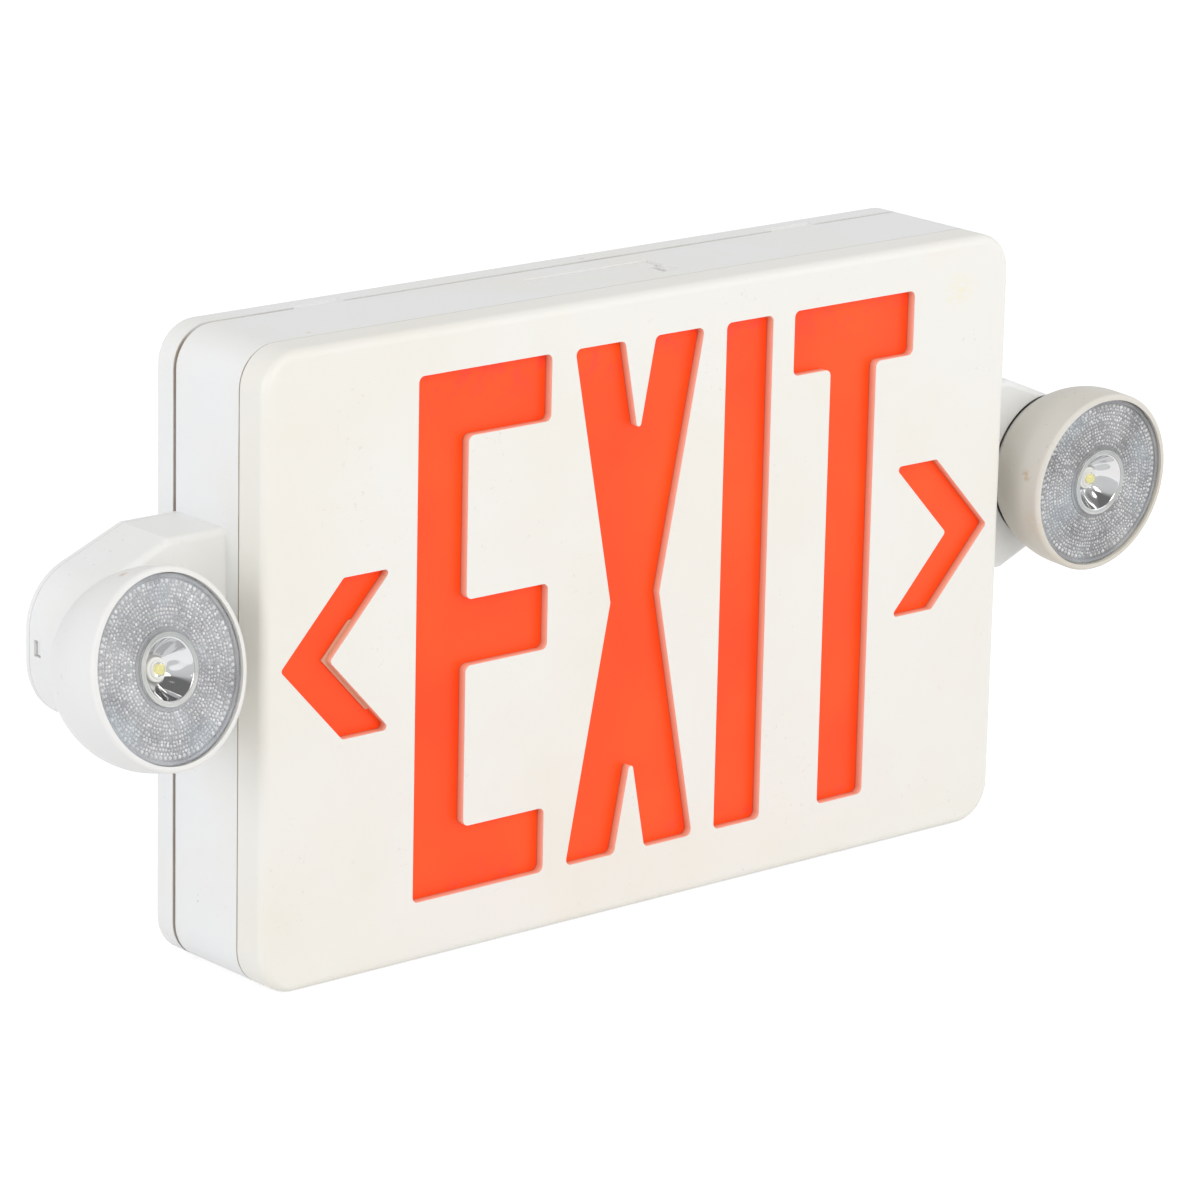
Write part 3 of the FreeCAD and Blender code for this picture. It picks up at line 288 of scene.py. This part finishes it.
# stains: centre, radii, colour and strength
FACE_STAINS = [((126, -52, 80.8), (9, 4, 7), "F0E6B8", 0.35)]       # pale yellow cloud in a corner
BODY_STAINS = [
    ((-120, -35.9, 97.1), (1.3, 0.7, 1), "D98A3C", 0.8),            # amber drip on the top
    ((9.4, -5, 97.1), (2.5, 0.7, 1), "B9AE9A", 0.6),                # rub on the back cover's rim
    ((-23.4, -32.6, 96.9), (1.4, 0.8, 0.9), "5E564C", 0.9),         # dark marks in the canopy plug's corners: painted shade in its notch and its slot
    ((23.4, -24.4, 96.9), (1.8, 0.8, 0.9), "5E564C", 0.9),
    ((-147.75, -20.6, -72.5), (1, 0.5, 0.5), "5E564C", 0.8),        # three flecks low on the left side
    ((-147.75, -20.7, -74.6), (1, 0.5, 0.5), "5E564C", 0.8),
    ((-147.75, -34.3, -72.8), (1, 0.9, 0.3), "7C7266", 0.7)]
HEAD_STAINS = {
    "left": by_ball("left", ((-7.3, 4.8, 28.2), (2.6, 2.2, 0.7), "C89A6C", 0.7),        # amber, on top
                    ((-12, 3.2, 26.0), (1.4, 1.2, 0.5), "CFA880", 0.6)),
    "right": by_ball("right", ((-28.9, -2.1, 5.3), (1.8, 2.6, 2.2), "C49A5E", 0.7),     # thumbed rim
                     ((-26.5, -6.5, 4.7), (1.8, 1.8, 3.4), "CBAA86", 0.6),
                     ((-27.5, -4.0, -12.0), (6, 6, 9), "DCC6A8", 0.5))}

# moulded ABS: the faceplate is warm, the body cooler, and the right head is yellowed most and also darker
# all over as painted shade
FACE = moulded_abs("warm_white_abs", "EEEDE8", "EBE6D8", "A58A66", seed=0.3, joints=[FACE_JOINT],
                   stains=FACE_STAINS, stencil=True)
BODY = moulded_abs("cool_white_abs", "EDEEEE", "ECE9E0", "8E8478", seed=1.7,
                   joints=[SHADOW_JOINT, FACE_JOINT], stains=BODY_STAINS)
# arms: each cradle is painted near black round its ball as painted shade
ARM = {side: moulded_abs(side + "_arm_abs", "EDEEEE", "E8E4DA", "8E8478", aged_share=0.4,
                         seed=1.7 + len(side), hollow=(BALL[side].tolist(), CRADLE_SHADE_R, "1E1B19"))
       for side in SIDES}
HEAD = {"left": moulded_abs("left_head_abs", "E9E9E8", "E3E0D6", "9A7B52", grime_share=0.3, seed=2.9,
                            stains=HEAD_STAINS["left"]),
        # right head: a base darker than the left's as painted shade, under its yellowing
        "right": moulded_abs("right_head_abs", "DBD8D1", "D1CABB", "9A7B52", aged_share=0.8,
                             grime_share=0.45, seed=4.1, stains=HEAD_STAINS["right"])}
# plastics of the legend and the lamps
RED = red_acrylic()
CLEAR = clear_polycarbonate()
# the lamps' clear prisms and collar: their greys are painted shade, their light tones painted highlights
CARRIER = prism_painted_shade("prism_plate_polycarbonate", "6A6A6C", "949496", 0.25)
PRISM = prism_painted_shade("prism_dot_polycarbonate", "707073", "F4F4F4", 0.15, by_dot=True)
COLLAR = prism_painted_shade("lens_collar_polycarbonate", "B4B7B6", "D2D4D2", 0.12)
# metals: a bright mirror, and a soft grey shine
CHROME = plain("vacuum_chromed_abs", "D9DADB", rough=0.06, metal=True, mottle=0.02)
STEEL = plain("zinc_plated_steel", "B9B9B4", rough=0.32, metal=True, mottle=0.08, across=1.0)
# boards and what they carry: lacquered green and white, satin black, brown-grey varnish
BOARD = plain("fr4_board", "1F5B33", rough=0.35, mottle=0.15, across=2.0)
WHITE_BOARD = plain("white_solder_mask", "E9E9E4", rough=0.35, mottle=0.03)
BLACK = plain("black_nylon", "161616", rough=0.45)
CORE = plain("varnished_laminations", "4A4642", rough=0.4, across=1.0)
GREEN = plain("green_nylon", "2E8A3E", rough=0.4)
# the battery's shrunk, shiny sleeve and its dull, pitted pad
SLEEVE = plain("blue_pvc_sleeve", "1D4FA0", rough=0.25, mottle=0.08)
FOAM = plain("grey_foam", "3A3A3A", rough=0.9, mottle=0.3, across=1.0, dents=0.3)
# the button, the clear yellow-green status light, and the lamps' pale yellow and white light source
BUTTON = plain("red_abs", "C7221A", rough=0.35, mottle=0.05)
STATUS = plain("status_lens_acrylic", "BFD860", rough=0.12, mottle=0.05)
PHOSPHOR = plain("led_phosphor", "E6DF98", rough=0.5, mottle=0.1, across=0.5)
CERAMIC = plain("led_ceramic", "EFEFEA", rough=0.35, mottle=0.03)

# finish of each node, without its side where it has one; screws, studs, nuts and the strap are steel
FINISH = {
    "faceplate": FACE, "red_panel": RED, "frame": BODY, "back_cover": BODY, "canopy_plug": BODY,
    "charger_board": BOARD, "transformer": CORE, "capacitor": BLACK, "relay": BLACK,
    "supply_terminal": GREEN, "battery_pack": SLEEVE, "battery_pad": FOAM,
    "light_strip_top": WHITE_BOARD, "light_strip_bottom": WHITE_BOARD, "test_button": BUTTON,
    "test_switch": BLACK, "status_light": STATUS, "arm": ARM, "arm_cover": ARM, "head_cup": HEAD,
    "lamp_lens": WHITE_BOARD, "lamp_optic": CHROME, "lamp_board": WHITE_BOARD, "lamp_led": PHOSPHOR,
}
for name, obj in NODES.items():
    finish = FINISH.get(name.replace("left_", "").replace("right_", ""), STEEL)
    if isinstance(finish, dict):
        finish = finish[name.split("_")[0]]
    obj.data.materials.clear()
    obj.data.materials.append(finish)


# ---------------------------------------------------------------- pieces from arrays
def revolved(profile, turns, ripple=None):
    """Surface of revolution about the local Y axis: point (r, y) of the closed profile at angle t is
    (r cos t, y, r sin t).  A ripple (count, depth at each point) adds depth x cos(count t) to y.
    Returns vertices and quads."""
    profile = np.asarray(profile, float)
    t = np.linspace(0, 2 * np.pi, turns, endpoint=False)
    r, y = profile[:, 0], np.tile(profile[:, 1], (turns, 1))
    if ripple is not None:
        y = y + np.outer(np.cos(ripple[0] * t), ripple[1])
    verts = np.stack([np.outer(np.cos(t), r), y, np.outer(np.sin(t), r)], -1)
    n = len(profile)
    i, j = np.meshgrid(np.arange(turns), np.arange(n), indexing="ij")
    k, m = (i + 1) % turns, (j + 1) % n
    quads = np.stack([i * n + j, i * n + m, k * n + m, k * n + j], -1).reshape(-1, 4)
    return verts.reshape(-1, 3), quads


def make_piece(name, verts, faces, material, body, to_world=None, smooth=True, shade=None, weld=False):
    """Mesh object that rides a body, from arrays in mm.  to_world, a turn and a place, takes them
    from a local frame; shade is a value per vertex; weld joins vertices that meet."""
    verts = np.asarray(verts, float)
    if to_world is not None:
        turn, centre = to_world
        verts = verts @ turn.T + centre
    mesh = bpy.data.meshes.new(name)
    mesh.from_pydata((verts * MM).tolist(), [], [list(f) for f in faces])
    if shade is not None:
        layer = mesh.attributes.new("shade", "FLOAT", "POINT")
        layer.data.foreach_set("value", np.asarray(shade, np.float32))
    if weld:
        bm = bmesh.new()
        bm.from_mesh(mesh)
        bmesh.ops.remove_doubles(bm, verts=bm.verts, dist=1e-6)
        bmesh.ops.recalc_face_normals(bm, faces=bm.faces)
        bm.to_mesh(mesh)
        bm.free()
    mesh.polygons.foreach_set("use_smooth", np.full(len(mesh.polygons), smooth))
    mesh.materials.append(material)
    obj = bpy.data.objects.new(name, mesh)
    bpy.context.scene.collection.objects.link(obj)
    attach(obj, body)
    return obj


# ---------------------------------------------------------------- lamp heads
# radii and depths in a head's own frame: origin at the ball centre, -Y out of the lamp
LENS_R, LENS_FRONT, LENS_BACK = 27.45, -6.7, -4.7
LENS_T = 0.5             # thickness of the clear front
PRISM_FACE = -5.35       # face of the prism plate
SLEEVE_R = 10.8          # bore of the lens round the collar
BOWL_R, BOWL_MOUTH, BOWL_HOLE_R = 9.2, -6.75, 3.7
BOWL_BACK_R = 9.38       # outside of the bowl's rim
BOWL_RIPPLES, RIPPLE = 6, 0.3
BOARD_FRONT, CHIP = 3.0, -1.9               # face of the lamp board, and the light source
DOME_R, DOME_RISE = 2.2, 1.8
# prisms: rings between the radii of each zone, and one ring of larger ones at the edge
DOT_PITCH = 1.16
DOT_ZONES = ((12.6, 17.2), (18.2, 20.8), (21.7, 24.1))
DOT_RADII = (0.34, 0.48)
DOT_SCATTER = (0.11, 0.09)                  # along the ring and across it
EDGE_DOTS_R, EDGE_DOT, EDGE_PITCH = 25.15, 0.62, 2.9
SEAMS, SEAM_HALF, SEAM_STEP, SEAM_START = 7, 0.32, 0.37, 0.2     # smooth radial seams in each zone
CAP_SIDES, CAP_SHARES, CAP_RISE = 8, (1.0, 0.72, 0.36), 0.8      # mesh of one prism


def head_frame(side):
    """Turn (columns: tilt axis, backwards, up) of a lamp head at rest, from its tilt joint and the
    axis of its flat lamp board, with its ball centre in mm."""
    across = np.array(JOINTS[side + "_tilt"]["axis"], float)
    board = NODES[side + "_lamp_board"].data
    co = np.empty(len(board.vertices) * 3)
    board.vertices.foreach_get("co", co)
    co = co.reshape(-1, 3) / MM
    back = np.linalg.svd(co - co.mean(0), full_matrices=False)[2][2]
    back *= np.sign(back @ (co.mean(0) - BALL[side]))
    across -= back * (across @ back)
    across /= np.linalg.norm(across)
    return np.stack([across, back, np.cross(across, back)], 1), BALL[side]


def dot_places(rng):
    """Radius, angle and size of each prism: rings a pitch apart in each zone, each ring divided
    evenly with a little scatter, leaving out those on a radial seam, and the ring at the edge."""
    rows = []
    for zone, (r0, r1) in enumerate(DOT_ZONES):
        for r in np.linspace(r0, r1, int(round((r1 - r0) / DOT_PITCH)) + 1):
            n = int(2 * np.pi * r / DOT_PITCH)
            a = np.arange(n) * 2 * np.pi / n + rng.uniform(0, 1)
            seam = (a / (2 * np.pi) * SEAMS + zone * SEAM_STEP + SEAM_START) % 1.0
            keep = np.minimum(seam, 1 - seam) * 2 * np.pi * r / SEAMS > SEAM_HALF
            a = a[keep] + rng.normal(0, DOT_SCATTER[0], keep.sum()) / r
            radius = r + rng.normal(0, DOT_SCATTER[1], len(a))
            rows.append(np.stack([radius, a, rng.uniform(*DOT_RADII, len(a))], 1))
    n = int(2 * np.pi * EDGE_DOTS_R / (EDGE_DOT * EDGE_PITCH))
    a = np.arange(n) * 2 * np.pi / n
    rows.append(np.stack([np.full(n, EDGE_DOTS_R), a, np.full(n, EDGE_DOT)], 1))
    return np.vstack(rows)


def prism_dots(name, to_world, body, rng):
    """Prisms as spherical caps: height (1 - s^2) of the rise at share s of the radius."""
    place = dot_places(rng)
    share = np.array(CAP_SHARES)
    t = np.arange(CAP_SIDES) * 2 * np.pi / CAP_SIDES
    rings = np.stack([np.outer(share, np.cos(t)), np.outer(share, np.sin(t)),
                      np.tile((1 - share ** 2)[:, None], CAP_SIDES)], -1).reshape(-1, 3)
    cap = np.vstack([rings, [[0, 0, 1.0]]])
    r, a, size = place[:, :1], place[:, 1:2], place[:, 2:]
    x = r * np.cos(a) + cap[:, 0] * size
    z = r * np.sin(a) + cap[:, 1] * size
    y = PRISM_FACE - cap[:, 2] * size * CAP_RISE
    verts = np.stack([x, y, z], -1).reshape(-1, 3)

    i = np.tile(np.arange(CAP_SIDES), len(share) - 1)
    ring = np.repeat(np.arange(len(share) - 1), CAP_SIDES) * CAP_SIDES
    k = (i + 1) % CAP_SIDES
    quads = np.stack([ring + i, ring + k, ring + CAP_SIDES + k, ring + CAP_SIDES + i], 1)
    i = np.arange(CAP_SIDES)
    last = len(rings) - CAP_SIDES
    tris = np.stack([last + i, last + (i + 1) % CAP_SIDES, np.full(CAP_SIDES, len(rings))], 1)
    first = np.arange(len(place))[:, None, None] * len(cap)
    faces = (quads + first).reshape(-1, 4).tolist() + (tris + first).reshape(-1, 3).tolist()
    shade = np.repeat(np.clip(rng.normal(0.55, 0.25, len(place)), 0, 1), len(cap))
    return make_piece(name, verts, faces, PRISM, body, to_world, shade=shade)


def lamp_head(side, seed):
    """Lens, prism layer, collar, reflector and light source of one head."""
    body = side + "_head"
    nodes = {"lens": side + "_lamp_lens", "optic": side + "_lamp_optic", "led": side + "_lamp_led"}
    to_world = head_frame(side)

    def turned(name, profile, turns, material, smooth=True, ripple=None):
        return make_piece(side + name, *revolved(profile, turns, ripple), material, body, to_world, smooth,
                          weld=True)

    # prism plate: low steps where two zones meet, and a raised smooth ring along the rim
    face = [(SLEEVE_R, -0.3), (12.0, -0.3), (12.2, 0.0), (17.4, 0.0), (17.7, 0.12), (18.0, 0.0),
            (20.9, 0.0), (21.2, 0.12), (21.5, 0.0), (24.6, 0.0), (26.0, 0.0), (26.2, -0.5), (26.9, -0.7),
            (27.3, -0.5)]
    face = [(r, PRISM_FACE + dy) for r, dy in face] + [(27.3, LENS_BACK), (SLEEVE_R, LENS_BACK)]
    plate = turned("_prism_plate", face, 128, CARRIER, smooth=False)
    dots = prism_dots(side + "_prism_dots", to_world, body, np.random.default_rng(seed))
    # clear front: thin sheet with a rounded rim
    front = [(SLEEVE_R + 0.05, LENS_FRONT), (26.9, LENS_FRONT), (27.2, LENS_FRONT + 0.06),
             (27.38, LENS_FRONT + 0.24), (LENS_R, LENS_FRONT + LENS_T),
             (SLEEVE_R + 0.05, LENS_FRONT + LENS_T)]
    clear = turned("_lens_front", front, 128, CLEAR, smooth=False)
    # collar: a raised sleeve with two rounded lips round the bowl
    lips = [(SLEEVE_R, LENS_BACK), (SLEEVE_R, -6.8), (10.65, -7.0), (10.4, -7.0), (10.2, -6.75), (9.9, -6.7),
            (9.75, -6.95), (9.5, -7.0), (9.4, -6.8), (9.4, LENS_BACK)]
    collar = turned("_lens_collar", lips, 96, COLLAR)
    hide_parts(nodes["lens"])

    # bowl: paraboloid y = vertex - r^2 / 4f with its focus, f in front of the vertex, at the chip, and
    # shallow ripples that fade out at its mouth and its hole
    drop = CHIP - BOWL_MOUTH
    focus = (math.hypot(drop, BOWL_R) - drop) / 2
    r = np.linspace(BOWL_R, BOWL_HOLE_R, 24)
    bowl = np.stack([r, CHIP + focus - r ** 2 / (4 * focus)], 1)
    outside = [(BOWL_HOLE_R, bowl[-1, 1] + 0.5), (BOWL_R, -3.2), (BOWL_BACK_R, -5.0),
               (BOWL_BACK_R, BOWL_MOUTH)]
    depth = np.concatenate([RIPPLE * np.sin(np.linspace(0, np.pi, len(bowl))), np.zeros(len(outside))])
    shell = turned("_reflector", np.vstack([bowl, outside]), 144, CHROME, ripple=(BOWL_RIPPLES, depth))
    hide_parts(nodes["optic"])

    # light source: white package on its slug, phosphor disc and clear dome
    base = [(3.65, BOARD_FRONT - 0.05), (3.65, CHIP + 0.9), (3.4, CHIP + 0.6), (2.9, CHIP + 0.5),
            (2.7, CHIP), (1.9, CHIP - 0.05), (1.6, CHIP + 0.3), (0.0, CHIP + 0.3),
            (0.0, BOARD_FRONT - 0.05)]
    package = turned("_led_package", base, 48, CERAMIC, smooth=False)
    disc = [(1.45, CHIP + 0.31), (1.45, CHIP + 0.1), (1.2, CHIP - 0.02), (0.0, CHIP - 0.05),
            (0.0, CHIP + 0.31)]
    glow = turned("_led_phosphor", disc, 32, PHOSPHOR)
    a = np.linspace(0, np.pi / 2, 12)
    dome = np.stack([DOME_R * np.cos(a), CHIP - 0.03 - DOME_RISE * np.sin(a)], 1)
    bulb = turned("_led_dome", np.vstack([dome, [[0.0, CHIP - 0.02], [DOME_R, CHIP - 0.02]]]), 48, CLEAR)
    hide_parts(nodes["led"])
    # light falls through the clear pieces without a shadow
    clear.visible_shadow = bulb.visible_shadow = False


for side, seed in zip(SIDES, (5, 11)):
    lamp_head(side, seed)


# ---------------------------------------------------------------- canopy plate
PLUG_T, PLUG_EDGE_R = 2.6, 0.2
PLUG_SUNK = 0.45                        # below the top face
PLUG_SLOT, PLUG_STEP = 1.1, 5.0         # gap and step at its right end
PLUG_SHIFT = 1.0                        # the step's corner, behind the plug's middle


def canopy_plate():
    """Plug of the canopy opening, sunk a little, with a stepped right end that leaves a slot: the
    outline's points at its top and bottom, joined by its walls, with softened edges."""
    low, high = (np.array(v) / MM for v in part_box("canopy_plug"))
    middle = (low[1] + high[1]) / 2 + PLUG_SHIFT
    step, end = high[0] - PLUG_STEP, high[0] - PLUG_SLOT
    corners = np.array([(low[0], low[1]), (step, low[1]), (step, middle), (end, middle), (end, high[1]),
                        (low[0], high[1])])
    n, top = len(corners), high[2] - PLUG_SUNK
    verts = np.vstack([np.column_stack([corners, np.full(n, z)]) for z in (top, top - PLUG_T)])
    walls = [[i, n + i, n + (i + 1) % n, (i + 1) % n] for i in range(n)]
    faces = [list(range(n)), list(range(2 * n - 1, n - 1, -1))] + walls
    plate = make_piece("canopy_plate", verts, faces, BODY, "housing", smooth=False)
    soften = plate.modifiers.new("soften", "BEVEL")
    soften.width, soften.segments, soften.limit_method = PLUG_EDGE_R * MM, 2, "ANGLE"
    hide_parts("canopy_plug")


canopy_plate()


# ---------------------------------------------------------------- stage, lights and camera
FLOOR_GAP, FLOOR_HALF = 0.0002, 6.0     # metres
# name, place and aim in metres, width in metres, power in watts, colour
LAMPS = (("key", (-0.5, -2.1, 1.5), (0, 0, 0), 1.2, 16.0, "FFFBF3"),
         ("fill", (1.6, -1.5, 0.7), (0, 0, 0), 1.4, 8.0, "F6F9FF"),
         ("left_wash", (-2.2, 0.1, 0.6), (-0.1, 0, 0), 1.2, 10.5, "F6F9FF"))
CAMERA_PLACE = (-1.116126, -1.32501, 0.477027)      # metres
CAMERA_TURN = (40.7185, 15.7304, 1.2636)            # degrees right of +Y, down, and rolled
CAMERA_LENS, CAMERA_SENSOR = 173.4, 36.0


def link(name, data):
    """Puts data in the scene as an object of that name."""
    obj = bpy.data.objects.new(name, data)
    bpy.context.scene.collection.objects.link(obj)
    return obj


def build_floor():
    """Pale floor under the housing.  Seen or mirrored, it glows and takes a faint shadow; to
    everything else it is plain matt white."""
    z, h = cad_bounds[0][2] - FLOOR_GAP, FLOOR_HALF
    mesh = bpy.data.meshes.new("floor")
    mesh.from_pydata([(-h, -h, z), (h, -h, z), (h, h, z), (-h, h, z)], [], [(0, 1, 2, 3)])
    mat, tree, shader, surface = new_material("white_studio_floor")
    fill(tree, shader, {"Base Color": "EDEDED", "Roughness": 0.9})
    glow = add(tree, "Emission", {"Color": (1, 1, 1, 1), "Strength": 0.82})
    pale = add(tree, "BsdfDiffuse", {"Color": (0.36, 0.36, 0.36, 1)})
    shown = add(tree, "AddShader", {0: glow, 1: pale})
    path = add(tree, "LightPath", out=None).outputs
    seen = add(tree, "Math", {0: path["Is Camera Ray"], 1: path["Is Glossy Ray"]}, operation="MAXIMUM")
    seen = add(tree, "Math", {0: seen, 1: path["Is Transmission Ray"]}, operation="MAXIMUM")
    both = add(tree, "MixShader", {0: seen, 1: shader.outputs[0], 2: shown})
    fill(tree, surface, {"Surface": both})
    mesh.materials.append(mat)
    floor = link("floor", mesh)


def build_world():
    """Bright walls all round and a dimmer ceiling, which is dimmer still in a mirror, so that the
    lamp bowls show something dark.  Seen straight, the world is white."""
    world = bpy.data.worlds.new("studio")
    bpy.context.scene.world = world
    world.use_nodes = True
    tree = world.node_tree
    tree.nodes.clear()
    path = add(tree, "LightPath", out=None).outputs
    rise = add(tree, "SeparateXYZ", {0: add(tree, "TexCoord", out="Generated")}, out="Z")
    level = add(tree, "MapRange", {"Value": rise, "From Min": 0.1, "From Max": 0.8, "To Min": 0.80,
                                   "To Max": 0.66})
    unlit = add(tree, "MapRange", {"Value": rise, "From Min": 0.6, "From Max": 0.85, "To Max": 0.7})
    unlit = add(tree, "Math", {0: unlit, 1: path["Is Glossy Ray"]}, operation="MULTIPLY")
    unlit = add(tree, "Math", {0: 1.0, 1: unlit}, operation="SUBTRACT")
    level = add(tree, "Math", {0: level, 1: unlit}, operation="MULTIPLY")
    level = add(tree, "Math", {0: level, 1: path["Is Camera Ray"]}, operation="MAXIMUM")
    back = add(tree, "Background", {"Color": (1, 1, 1, 1), "Strength": level})
    add(tree, "OutputWorld", {"Surface": back}, out=None)


def build_lamps():
    """Soft square lamps: a warm key from the front, a fill on the right, a wash on the left side."""
    for name, place, aim, size, power, colour in LAMPS:
        lamp = bpy.data.lights.new(name, "AREA")
        lamp.energy, lamp.size, lamp.color = power, size, linear(colour)[:3]
        obj = link(name, lamp)
        obj.location = place
        towards = np.array(aim) - np.array(place)
        obj.rotation_euler = Vector(towards).to_track_quat("-Z", "Y").to_euler()


def build_camera():
    """Long lens from the front left and a little above, a touch out of level."""
    az, el, roll = (math.radians(v) for v in CAMERA_TURN)
    ahead = np.array([math.sin(az) * math.cos(el), math.cos(az) * math.cos(el), -math.sin(el)])
    level = np.array([math.cos(az), -math.sin(az), 0.0])
    above = np.cross(level, ahead)
    right = math.cos(roll) * level + math.sin(roll) * above
    up = -math.sin(roll) * level + math.cos(roll) * above
    cam = bpy.data.cameras.new("camera")
    cam.sensor_width, cam.lens = CAMERA_SENSOR, CAMERA_LENS
    cam.clip_start, cam.clip_end = 0.05, 50.0
    obj = link("camera", cam)
    turn = Matrix([[right[k], up[k], -ahead[k]] for k in range(3)])
    obj.matrix_world = Matrix.Translation(CAMERA_PLACE) @ turn.to_4x4()
    bpy.context.scene.camera = obj


build_floor()
build_world()
build_lamps()
build_camera()
bpy.context.scene.view_settings.view_transform = "Standard"
